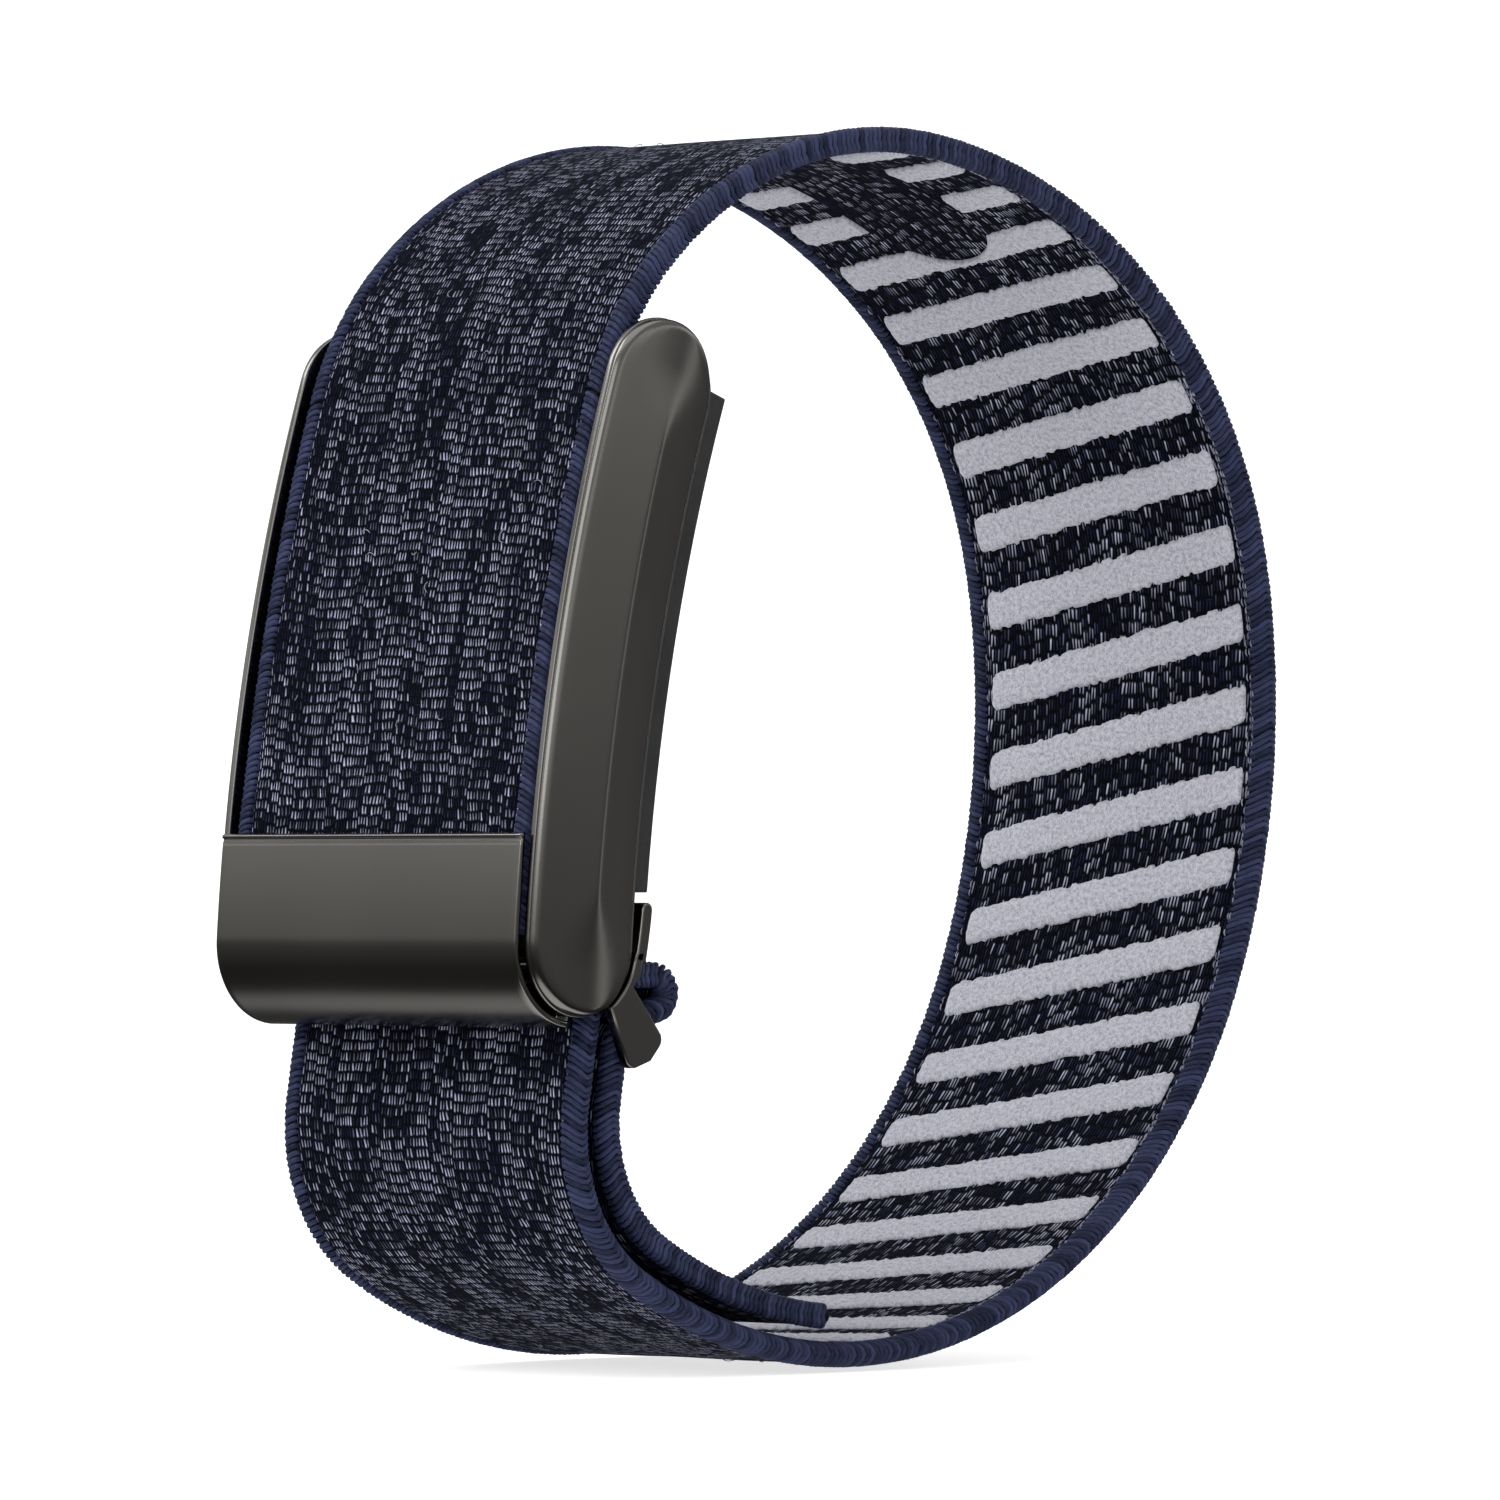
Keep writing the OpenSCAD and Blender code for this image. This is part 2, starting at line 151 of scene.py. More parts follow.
# The slide adjuster: its pin, its inner half width, its side flanges' two lower corners, and
# its hook plate, which starts at HOOK_TOP (y, z, heading) and bends by HOOK_TURN.
BUCKLE_AXIS = (-25.2, -12.3)
BUCKLE_HALF = 12.75
BUCKLE_T = 0.7
FLANGE_NEAR = (-21.25, -17.0)
FLANGE_FAR = (-22.85, -18.0)
FLANGE_TIP_R = 0.65
HOOK_TOP = (-21.75, -9.5, math.radians(-97))
HOOK_LENGTH = 3.1
HOOK_TURN = math.radians(6)
HOOK_HALF_T = 0.4
EAR_X = (11.2, 12.0)
EAR_R = 0.75


# ---- the strap's middle line -------------------------------------------------------------------

def go(pose, length, turn):
    """The pose (y, z, heading) after length along a bend that turns clockwise by turn radians."""
    y, z, h = pose
    if turn == 0:
        return y + length * math.cos(h), z + length * math.sin(h), h
    radius, end = length / turn, h - turn
    return y + radius * (math.sin(h) - math.sin(end)), z - radius * (math.cos(h) - math.cos(end)), end


def strap_pieces():
    """Each piece of the route as (start distance, length, turn, start pose)."""
    pose = (BEND_Y - STRAP_R * math.cos(LEAVE), BEND_Z + STRAP_R * math.sin(LEAVE), math.pi / 2 - LEAVE)
    dist, found = 0.0, []
    for length, turn in RING + LOOP + TAIL:
        found.append((dist, length, math.radians(turn), pose))
        pose = go(pose, length, math.radians(turn))
        dist += length
    return found, dist


PIECES, BODY_LENGTH = strap_pieces()
RING_LENGTH = sum(length for length, turn in RING)


def path(s):
    """Arrays y, z, heading at distances s. Below 0 the strap lies on the tracker's face."""
    s = np.asarray(s, float)
    phi = LEAVE + np.minimum(s, 0) / STRAP_R
    k = math.pi * np.clip(LIFT_FROM - phi, 0, LIFT_SPAN) / LIFT_SPAN
    lift = COVER_LIFT * (1 - np.cos(k)) / 2
    slope = -COVER_LIFT * np.sin(k) / 2 * math.pi / LIFT_SPAN / STRAP_R
    y = BEND_Y - (STRAP_R + lift) * np.cos(phi)
    z = BEND_Z + (STRAP_R + lift) * np.sin(phi)
    h = math.pi / 2 - phi + np.arctan(slope)
    for start, length, turn, (y0, z0, h0) in PIECES:
        here = s >= start
        d = s[here] - start
        if turn == 0:
            y[here], z[here], h[here] = y0 + d * math.cos(h0), z0 + d * math.sin(h0), h0
        else:
            radius = length / turn
            end = h0 - d / radius
            y[here] = y0 + radius * (math.sin(h0) - np.sin(end))
            z[here] = z0 - radius * (math.cos(h0) - np.cos(end))
            h[here] = end
    return y, z, h


def put(x, s, n):
    """Points across (x), along (s) and out from (n) the strap's middle line, in millimetres."""
    x, s, n = np.broadcast_arrays(np.asarray(x, float), np.asarray(s, float), np.asarray(n, float))
    y, z, h = path(s.ravel())
    out = n.ravel()
    return np.stack([x.ravel(), y - out * np.sin(h), z + out * np.cos(h)], -1).reshape(x.shape + (3,))


def stations(start, end):
    """Distances along the strap, closer together where it turns sharply."""
    step, degrees = 0.8, 5
    cuts = [start]
    if start < 0:
        cuts += list(np.linspace(start, 0, int(-start / step) + 2)[1:])
    for begin, length, turn, pose in PIECES:
        if begin + length > start and begin < end:
            n = int(max(length / step, abs(math.degrees(turn)) / degrees)) + 1
            cuts += list(np.linspace(begin, begin + length, n + 1)[1:])
    return np.array([c for c in cuts if start <= c <= end + 1e-6])


def waves(a, b, seed, size):
    """A smooth field of about -1 to 1 over a and b, with features about size wide."""
    draw = np.random.default_rng(seed)
    total, count = np.zeros(np.broadcast(a, b).shape), 7
    for _ in range(count):
        angle, phase = draw.uniform(0, 2 * math.pi, 2)
        turn = 2 * math.pi / (size * draw.uniform(0.7, 1.6))
        total += np.sin(turn * (a * math.cos(angle) + b * math.sin(angle)) + phase)
    return total / (count / 2)


# ---- meshes ------------------------------------------------------------------------------------

def make(name, verts, faces, materials, uv=None, face_material=None):
    """A mesh object from points in millimetres; uv is one pair for each point."""
    mesh = bpy.data.meshes.new(name)
    mesh.from_pydata((np.asarray(verts) * MM).tolist(), [], faces)
    for material in materials:
        mesh.materials.append(material)
    if uv is not None:
        layer = mesh.uv_layers.new(name="cloth")
        index = np.zeros(len(mesh.loops), int)
        mesh.loops.foreach_get("vertex_index", index)
        layer.data.foreach_set("uv", np.asarray(uv, np.float32)[index].ravel())
    if face_material is not None:
        mesh.polygons.foreach_set("material_index", np.asarray(face_material, np.int32))
    mesh.polygons.foreach_set("use_smooth", [True] * len(mesh.polygons))
    mesh.update()
    obj = bpy.data.objects.new(name, mesh)
    bpy.context.scene.collection.objects.link(obj)
    return obj


def quads(rows, columns, first=0, wrap=False):
    """Faces of a grid of points laid out row by row; wrap joins each row's end to its start."""
    last = columns if wrap else columns - 1
    return [(first + r * columns + c, first + r * columns + (c + 1) % columns,
             first + (r + 1) * columns + (c + 1) % columns, first + (r + 1) * columns + c)
            for r in range(rows - 1) for c in range(last)]


def tube_faces(rows, columns, first=0):
    """Faces of a closed tube: rows of rings with columns points each, and a cap on either end."""
    last = first + (rows - 1) * columns
    caps = [tuple(range(first, first + columns))[::-1], tuple(range(last, last + columns))]
    return quads(rows, columns, first, wrap=True) + caps


def outward(obj):
    """Turns every face of a closed mesh outwards."""
    mesh = bmesh.new()
    mesh.from_mesh(obj.data)
    bmesh.ops.recalc_face_normals(mesh, faces=mesh.faces)
    mesh.to_mesh(obj.data)
    mesh.free()
    return obj


def tubes(name, lines, across, radius, sides, material):
    """Many round threads in one mesh: lines is (threads, points, 3), and across points off each line."""
    count, points = lines.shape[:2]
    tangent = np.gradient(lines, axis=1)
    tangent /= np.linalg.norm(tangent, axis=2, keepdims=True)
    side = across - (across * tangent).sum(2, keepdims=True) * tangent
    side /= np.linalg.norm(side, axis=2, keepdims=True)
    up = np.cross(tangent, side)
    size, pinched = np.ones(points), 0.55
    size[[0, -1]] = pinched
    radius = np.broadcast_to(np.asarray(radius, float).reshape(-1, 1, 1, 1), (count, 1, 1, 1))
    angle = np.arange(sides) * 2 * math.pi / sides
    ring = np.cos(angle)[:, None] * side[:, :, None] + np.sin(angle)[:, None] * up[:, :, None]
    verts = lines[:, :, None] + ring * radius * size[None, :, None, None]
    step = np.linalg.norm(np.diff(lines, axis=1), axis=2)
    along = np.concatenate([np.zeros((count, 1)), np.cumsum(step, 1)], 1)
    uv = np.stack(np.broadcast_arrays((np.arange(sides) / sides)[None, None, :], along[:, :, None]), -1)
    faces = []
    for t in range(count):
        faces += tube_faces(points, sides, t * points * sides)
    return outward(make(name, verts.reshape(-1, 3), faces, [material], uv=uv.reshape(-1, 2)))


def loop_normals(outline):
    """Unit normals that point out of a closed outline of (y, z) points."""
    ahead, behind = np.roll(outline, -1, 0), np.roll(outline, 1, 0)
    tangent = ahead - behind
    tangent /= np.linalg.norm(tangent, axis=1, keepdims=True)
    normal = np.stack([tangent[:, 1], -tangent[:, 0]], 1)
    area = (outline[:, 0] * ahead[:, 1] - ahead[:, 0] * outline[:, 1]).sum()
    return normal if area > 0 else -normal


def slabs(name, parts, material, bevel):
    """Plates cut to (y, z) outlines, each from x0 to x1, with rounded edges, in one mesh."""
    verts, faces, first = [], [], 0
    round_edge = np.array([(0, 1), (0.13, 0.5), (0.5, 0.13), (1, 0)]) * bevel
    for outline, x0, x1 in parts:
        outline = np.asarray(outline, float)
        normal, count = loop_normals(outline), len(outline)
        ends = ((x0, 1, round_edge), (x1, -1, round_edge[::-1]))
        rings = [(x + way * e, inset) for x, way, edge in ends for e, inset in edge]
        for x, inset in rings:
            verts.append(np.column_stack([np.full(count, x), outline - normal * inset]))
        faces += tube_faces(len(rings), count, first)
        first += len(rings) * count
    piece = outward(make(name, np.concatenate(verts), faces, [material]))
    for face in piece.data.polygons:
        face.use_smooth = len(face.vertices) == 4
    return piece


def arc(centre, radius, start, end, count):
    """Points (y, z) on an arc, with angles in degrees."""
    angle = np.radians(np.linspace(start, end, count))
    return np.column_stack([centre[0] + radius * np.cos(angle), centre[1] + radius * np.sin(angle)])


def bent(b, a):
    """(y, z) at distance a along the tracker's bend and b outwards from its middle radius."""
    phi, r = TILT + np.asarray(a, float) / BEND_R, BEND_R + np.asarray(b, float)
    return np.stack([BEND_Y - r * np.cos(phi), BEND_Z + r * np.sin(phi)], -1)


def cradle_loop(grow, back_cut):
    """The cradle's side outline, made larger all round by grow and cut off flat at its back."""
    radius = RAIL_R + grow
    turn = np.radians(np.linspace(-90, 90, 29))
    end = np.column_stack([RAIL_FLAT + radius * np.cos(turn), radius * np.sin(turn)])
    flat = np.arange(RAIL_FLAT, -RAIL_FLAT, -0.8)[1:]
    half = np.concatenate([end, np.column_stack([flat, np.full(len(flat), radius)])])
    ab = np.concatenate([half, -half])
    ab[:, 1] = np.maximum(ab[:, 1], back_cut - radius)
    ab = ab[np.linalg.norm(ab - np.roll(ab, 1, 0), axis=1) > 1e-4]
    return bent(ab[:, 1] + RAIL_MID_B, ab[:, 0])


# ---- materials ---------------------------------------------------------------------------------

class Shade:
    """A short way to write a material's nodes."""

    def __init__(self, name):
        self.material = bpy.data.materials.new(name)
        self.material.use_nodes = True
        self.tree = self.material.node_tree
        self.shader = self.tree.nodes["Principled BSDF"]

    def wire(self, socket, value):
        if isinstance(value, bpy.types.NodeSocket):
            self.tree.links.new(value, socket)
        elif value is not None:
            socket.default_value = value

    def set(self, **values):
        for name, value in values.items():
            self.wire(self.shader.inputs[name.replace("_", " ").title().replace("Ior", "IOR")], value)
        return self

    def math(self, kind, a, b=None, c=None):
        node = self.tree.nodes.new("ShaderNodeMath")
        node.operation = kind
        for socket, value in zip(node.inputs, (a, b, c)):
            self.wire(socket, value)
        return node.outputs[0]

    def vector(self, x=0.0, y=0.0, z=0.0):
        node = self.tree.nodes.new("ShaderNodeCombineXYZ")
        for socket, value in zip(node.inputs, (x, y, z)):
            self.wire(socket, value)
        return node.outputs[0]

    def scaled(self, x, by_x, y, by_y, z=0.0):
        """The vector (x * by_x, y * by_y, z)."""
        return self.vector(self.math("MULTIPLY", x, by_x), self.math("MULTIPLY", y, by_y), z)

    def total(self, *parts):
        """The sum of each value times its weight, from (value, weight) pairs."""
        found = 0.0
        for value, weight in parts:
            found = self.math("MULTIPLY_ADD", value, weight, found)
        return found

    def cloth(self):
        """The two cloth coordinates: across and along, in millimetres."""
        uv = self.tree.nodes.new("ShaderNodeUVMap")
        uv.uv_map = "cloth"
        apart = self.tree.nodes.new("ShaderNodeSeparateXYZ")
        self.wire(apart.inputs[0], uv.outputs[0])
        return apart.outputs[0], apart.outputs[1]

    def place(self):
        return self.tree.nodes.new("ShaderNodeTexCoord").outputs["Object"]

    def noise(self, where, scale, detail=2.0, rough=0.5):
        node = self.tree.nodes.new("ShaderNodeTexNoise")
        self.wire(node.inputs["Vector"], where)
        node.inputs["Scale"].default_value = scale
        node.inputs["Detail"].default_value = detail
        node.inputs["Roughness"].default_value = rough
        return node.outputs[0]

    def white(self, where):
        node = self.tree.nodes.new("ShaderNodeTexWhiteNoise")
        node.noise_dimensions = "3D"
        self.wire(node.inputs["Vector"], where)
        return node.outputs["Value"]

    def ramp(self, value, low, high, to_low=0.0, to_high=1.0):
        """A smooth step from to_low to to_high as value goes from low to high."""
        node = self.tree.nodes.new("ShaderNodeMapRange")
        node.interpolation_type = "SMOOTHSTEP"
        for socket, entry in zip(node.inputs, (value, low, high, to_low, to_high)):
            self.wire(socket, entry)
        return node.outputs[0]

    def mix(self, share, first, second):
        """The colour first, turning into second as share goes from 0 to 1."""
        node = self.tree.nodes.new("ShaderNodeMix")
        node.data_type = "RGBA"
        self.wire(node.inputs[0], share)
        self.wire(node.inputs[6], first)
        self.wire(node.inputs[7], second)
        return node.outputs[2]

    def bump(self, height, distance, strength):
        """Surface relief of distance millimetres where height goes from 0 to 1."""
        node = self.tree.nodes.new("ShaderNodeBump")
        node.inputs["Strength"].default_value = strength
        node.inputs["Distance"].default_value = distance * MM
        self.wire(node.inputs["Height"], height)
        self.wire(self.shader.inputs["Normal"], node.outputs[0])
        return self

    def random(self):
        """A value of its own for each thread or other loose part of a mesh."""
        return self.tree.nodes.new("ShaderNodeNewGeometry").outputs["Random Per Island"]


def colour(text):
    """A linear colour from an sRGB one such as 2b3152."""
    parts = [int(text[k:k + 2], 16) / 255 for k in (0, 2, 4)]
    return tuple(c / 12.92 if c <= 0.04045 else ((c + 0.055) / 1.055) ** 2.4 for c in parts) + (1.0,)


def weave(name, row, stroke, group, gap, share, wander, light):
    """Heathered webbing: rows of short pale strokes in small groups, on a navy ground that is painted near
    black between the strokes as shade in the gaps.

    A stroke takes up stroke by row millimetres. A group has that many strokes side by side, and gap is what
    its outer ones keep of their tone; the rest turns into the ground's near-black painted shade. A larger
    share leaves more strokes dark."""
    m = Shade(name)
    u, v = m.cloth()

    # Columns of strokes wander a little, and stand in groups.
    drift = m.noise(m.scaled(u, 0.5, v, 0.22), 1.0, 1.0)
    col = m.math("DIVIDE", m.math("MULTIPLY_ADD", m.math("SUBTRACT", drift, 0.5), wander, u), stroke)
    col_id = m.math("FLOOR", col)
    off_middle = m.math("SUBTRACT", m.math("SUBTRACT", col, col_id), 0.5)
    group_id = m.math("FLOOR", m.math("DIVIDE", col_id, group))
    in_group = m.math("FRACT", m.math("DIVIDE", col, group))
    # Strokes at a group's border fade by gap into the near-black painted shade of the ground.
    apart = m.ramp(m.math("ABSOLUTE", m.math("SUBTRACT", in_group, 0.5)), 0.40, 0.47, 1.0, gap)

    # Rows are shifted by thirds from group to group, and skew slowly.
    skew = m.noise(m.vector(u, v), 0.7, 1.0)
    third = m.math("FLOOR", m.math("MULTIPLY", m.white(m.vector(group_id, 3.0)), 3.0))
    shift = m.math("MULTIPLY_ADD", skew, 0.5, m.math("MULTIPLY", third, 0.33))
    row_at = m.math("ADD", m.math("DIVIDE", v, row), shift)
    row_id = m.math("FLOOR", row_at)
    up = m.math("SUBTRACT", row_at, row_id)

    # Each stroke leans, narrows upwards and has its own length.
    cell = m.white(m.vector(col_id, row_id, 1.0))
    cell2 = m.white(m.vector(col_id, row_id, 7.0))
    lean = m.math("MULTIPLY", m.math("SUBTRACT", up, 0.5), m.math("MULTIPLY_ADD", cell2, 0.6, -0.1))
    down = m.math("SUBTRACT", 1.0, up)
    half = m.math("MULTIPLY_ADD", down, 0.12, m.math("MULTIPLY_ADD", cell, 0.08, 0.09))
    beside = m.math("SUBTRACT", m.math("ABSOLUTE", m.math("ADD", off_middle, lean)), half)
    reach = m.math("MULTIPLY_ADD", cell2, 0.1, 0.3)
    beyond = m.math("SUBTRACT", m.math("ABSOLUTE", m.math("SUBTRACT", up, 0.5)), reach)
    on = m.math("MULTIPLY", m.ramp(beside, -0.15, 0.12, 1.0, 0.0), m.ramp(beyond, -0.1, 0.08, 1.0, 0.0))
    on = m.math("MULTIPLY", on, apart)

    # How pale a stroke is: long streaks along the strap, then groups, columns and single strokes.
    streak = m.noise(m.scaled(group_id, 5.3, row_id, 0.07), 1.0, 1.0)
    fine = m.noise(m.scaled(col_id, 3.1, row_id, 0.2, 4.0), 1.0, 1.0)
    block = m.white(m.vector(group_id, row_id, 2.0))
    score = m.total((cell, 0.35), (fine, 0.35), (streak, 0.8), (block, 0.22))
    shade = m.math("MULTIPLY_ADD", down, 0.4, m.math("MULTIPLY_ADD", cell2, 0.4, 0.3))
    tone = m.math("MULTIPLY", m.ramp(score, share - 0.14, share + 0.18), shade)

    # The ground: near-black painted shade in the gaps off the strokes and navy under them, with a crossing
    # thread that shows here and there between two rows.
    ground_and_gap_shade = m.mix(on, colour("03040a"), m.mix(cell, colour("0c1024"), colour("1b2140")))
    between = m.ramp(m.math("ABSOLUTE", m.math("SUBTRACT", up, 0.05)), 0.02, 0.08, 1.0, 0.0)
    here = m.ramp(m.noise(m.vector(m.math("MULTIPLY", u, 1.4), row_id), 1.0, 1.0), 0.5, 0.65, 0.0, 0.4)
    base = m.mix(m.math("MULTIPLY", between, here), ground_and_gap_shade, colour("2a2c39"))
    m.set(base_color=m.mix(m.math("MULTIPLY", on, tone), base, colour(light)))
    fuzz = m.noise(m.scaled(u, 9.0, v, 3.0), 1.0, 2.0)
    m.bump(m.math("MULTIPLY_ADD", fuzz, 0.25, on), 0.14, 0.9)
    m.set(roughness=0.88, specular_ior_level=0.04)
    m.set(sheen_weight=0.02, sheen_roughness=0.5, sheen_tint=colour("9aa0b8"))
    return m.material


def thread(name, dark, light, shine):
    """Twisted thread; its cloth coordinates run round and along it."""
    m = Shade(name)
    u, v = m.cloth()
    one = m.random()
    turns = m.math("ADD", u, m.math("DIVIDE", v, 0.55))
    twist = m.math("SINE", m.math("MULTIPLY", turns, 2 * math.pi))
    fibre = m.noise(m.scaled(u, 14.0, v, 2.2, m.math("MULTIPLY", one, 50)), 1.0, 2.0)
    blend = m.math("MULTIPLY_ADD", one, 0.45, m.math("MULTIPLY_ADD", fibre, 0.9, -0.2))
    m.set(base_color=m.mix(m.ramp(blend, 0.0, 1.0), colour(dark), colour(light)))
    m.bump(m.math("MULTIPLY_ADD", twist, 0.5, fibre), 0.035, 0.8)
    m.set(roughness=0.62, specular_ior_level=0.12)
    m.set(sheen_weight=shine, sheen_roughness=0.45, sheen_tint=colour("8d97c4"))
    return m.material


def plush(name):
    """Short brushed pile, pale grey with the faint grain of its tufts."""
    m = Shade(name)
    u, v = m.cloth()
    tufts = m.noise(m.vector(u, v), 3.2, 3.0, 0.65)
    fine = m.noise(m.scaled(u, 11.0, v, 6.0), 1.0, 2.0)
    both = m.total((tufts, 0.55), (fine, 0.45))
    m.set(base_color=m.mix(m.ramp(both, 0.33, 0.62), colour("84848f"), colour("b3b3bd")))
    m.bump(both, 0.16, 0.8)
    m.set(roughness=0.95, sheen_weight=0.15, sheen_roughness=0.6, specular_ior_level=0.15)
    return m.material


def metal(name, dark, light, rough, grain=0.006):
    """Satin metal with a fine blasted grain and faint handling marks."""
    m = Shade(name)
    where = m.place()
    speck = m.noise(where, 9000.0, 2.0)
    smear = m.noise(where, 90.0, 2.0, 0.4)
    m.set(base_color=m.mix(m.ramp(smear, 0.2, 0.8), colour(dark), colour(light)), metallic=1.0)
    m.set(roughness=m.ramp(m.total((smear, 0.5), (speck, 0.5)), 0.2, 0.8, rough - 0.03, rough + 0.03))
    m.bump(speck, grain, 0.5)
    return m.material


def moulded(name, dark, light, rough, scale=2600.0, depth=0.01, **extra):
    """Moulded or cast material with a fine surface grain and slight colour variation."""
    m = Shade(name)
    where = m.place()
    grain = m.noise(where, scale, 3.0)
    cloud = m.noise(where, scale / 18, 3.0)
    mottle = m.ramp(m.math("MULTIPLY_ADD", grain, 0.5, cloud), 0.5, 1.0)
    m.set(base_color=m.mix(mottle, colour(dark), colour(light)))
    m.set(roughness=m.ramp(cloud, 0.3, 0.7, rough - 0.05, rough + 0.08), **extra)
    m.bump(grain, depth, 0.7)
    return m.material


def circuit(name):
    """Solder mask over a grid of copper tracks."""
    m = Shade(name)
    where = m.place()
    brick = m.tree.nodes.new("ShaderNodeTexBrick")
    m.wire(brick.inputs["Vector"], where)
    sizes = {"Scale": 900.0, "Mortar Size": 0.09, "Brick Width": 1.7, "Row Height": 0.8}
    for socket, value in sizes.items():
        brick.inputs[socket].default_value = value
    tracks = m.ramp(brick.outputs["Fac"], 0.2, 0.8)
    m.set(base_color=m.mix(tracks, colour("0c3a2a"), colour("2f6b45")))
    m.set(metallic=m.math("MULTIPLY", tracks, 0.4))
    m.set(roughness=m.ramp(m.noise(where, 900.0), 0.3, 0.7, 0.35, 0.5))
    m.bump(tracks, 0.02, 0.5)
    return m.material


WEAVE_OUT = weave("weave_outer", row=0.627, stroke=0.25, group=4.0, gap=0.0,
                  share=0.85, wander=0.7, light="a7abc4")
WEAVE_IN = weave("weave_inner", row=0.95, stroke=0.26, group=2.0, gap=0.3,
                 share=0.93, wander=0.6, light="b4b8cc")
EDGE_THREAD = thread("edge_thread", "0c1022", "343a58", 0.05)
# The edge core is near black: painted shade for the gaps between the sewn threads. The core also fills the
# rim.
EDGE_CORE_SHADE = thread("edge_core_shade", "04060c", "090b15", 0.0)
PALE_THREAD = thread("pale_thread", "5f6272", "9a9cab", 0.1)
PILE = plush("plush_pile")
GUNMETAL = metal("gunmetal", "7a7874", "7e7c78", 0.21, 0.0005)
STEEL = metal("pin_steel", "8f8f92", "b4b4b8", 0.24)
CONTACT = metal("contact_gold", "c79a4a", "e0ba6c", 0.22)
FOIL = metal("battery_foil", "9a9ba0", "c2c3c8", 0.38, 0.02)
PLASTIC = moulded("pod_plastic", "161617", "222224", 0.42)
RUBBER = moulded("seal_rubber", "141416", "232326", 0.72, 1500.0, 0.015)
GLASS = moulded("window_glass", "020305", "0a0c12", 0.07, 300.0, 0.001,
                coat_weight=1.0, coat_roughness=0.04)
RESIN = moulded("lamp_resin", "8fb996", "d8f0cf", 0.2, 1400.0, 0.004, transmission_weight=0.3)
BOARD = circuit("circuit_board")


# ---- the strap ---------------------------------------------------------------------------------

def cloth_at(x, s):
    """Cloth coordinates of points at x across and s along the strap, kept above zero."""
    return np.stack(np.broadcast_arrays(x + 20, s + 50), -1).reshape(-1, 2)


def webbing(name, start, end):
    """A length of webbing with closed ends, its outer face woven tighter than its inner one."""
    s = stations(start, end)
    half = WEB_HALF + WEB_TUCK
    face_x = np.linspace(-half, half, 33)
    x = np.concatenate([face_x, face_x[::-1]])
    side = np.repeat([1.0, -1.0], len(face_x))
    under = np.clip((np.abs(x) - half) / 0.65 + 1, 0, 1)
    thin = WEB_T / 2 - WEB_THIN * under ** 2
    fade = np.clip((s - start) / 3, 0, 1) * np.clip((end - s) / 3, 0, 1)
    sway = 0.035 * waves(x[None, :], s[:, None], 11, 9.0) * fade[:, None]
    verts = put(x[None, :], s[:, None], (side * thin)[None, :] + sway)
    count = len(x)
    inner = list(np.tile(np.arange(count) >= len(face_x), len(s) - 1).astype(int))
    obj = make(name, verts.reshape(-1, 3), tube_faces(len(s), count), [WEAVE_OUT, WEAVE_IN],
               cloth_at(x[None, :], s[:, None]), inner + [0, 0])
    outward(obj)
    return obj


def edge_section(count):
    """(x, n, advance) of a sewn thread from one face of the strap round its rim to the other."""
    angle, power = np.linspace(math.pi / 2, -math.pi / 2, count), 0.72
    rise = np.sign(np.sin(angle)) * np.abs(np.sin(angle)) ** power
    root = WEB_HALF + EDGE_ROOT
    x = root + (STRAP_HALF - root - EDGE_R) * np.cos(angle) ** power
    n = (EDGE_T / 2 - EDGE_R + 0.02) * rise
    border = [(WEB_HALF - 0.12, 0.42), (WEB_HALF + 0.08, 0.56)]
    first = np.array([(bx, bn, 0.0) for bx, bn in border])
    last = np.array([(bx, -bn, 0.0) for bx, bn in border[::-1]])
    middle = np.column_stack([x, n, 0.06 + CHEVRON * (1 - np.abs(angle) / (math.pi / 2))])
    return np.concatenate([first, middle, last])


def sewn_edge(name, start, end, sides):
    """Overlocked edges: threads that wrap each rim in a chevron, over a core that fills the rim and is
    coloured near black as painted shade between the threads.
    """
    section = edge_section(9)
    along = np.arange(start + EDGE_PITCH / 2, end, EDGE_PITCH)
    lines, away, shaded_cores = [], [], []
    for sign in sides:
        jitter = rng.normal(0, 0.02, (len(along), 1))
        push = rng.normal(0, 0.012, (len(along), 1))
        s = np.clip(along[:, None] + jitter - section[None, :, 2] + 0.2, start, end)
        lines.append(put(sign * (section[None, :, 0] + push), s, section[None, :, 1]))
        ahead = put(sign * section[None, :, 0], s + 0.05, section[None, :, 1])
        away.append(ahead - put(sign * section[None, :, 0], s, section[None, :, 1]))
    radius = EDGE_R * rng.uniform(0.94, 1.06, len(along) * len(sides))
    obj = tubes(name, np.concatenate(lines), np.concatenate(away), radius, 8, EDGE_THREAD)
    # A core that fills the rim under the threads. Its near-black colour is painted shade in the gaps between
    # them.
    s = stations(start, end)
    angle = np.linspace(math.pi / 2, -math.pi / 2, 9)
    for sign in sides:
        x = np.concatenate([[WEB_HALF - 0.2], WEB_HALF + EDGE_ROOT + 0.68 * np.cos(angle), [WEB_HALF - 0.2]])
        n = np.concatenate([[0.4], 0.55 * np.sin(angle), [-0.4]])
        shaded_cores.append(put(sign * x[None, :], s[:, None], n[None, :]))
    count = shaded_cores[0].shape[1]
    verts = np.concatenate([c.reshape(-1, 3) for c in shaded_cores])
    faces = []
    for k in range(len(shaded_cores)):
        faces += tube_faces(len(s), count, k * len(s) * count)
    uv = np.stack(np.broadcast_arrays(np.linspace(0, 1, count)[None, :], s[:, None]), -1)
    uv = np.tile(uv.reshape(-1, 2), (len(shaded_cores), 1))
    shaded_core = outward(make(name + "_core", verts, faces, [EDGE_CORE_SHADE], uv))
    return obj, shaded_core


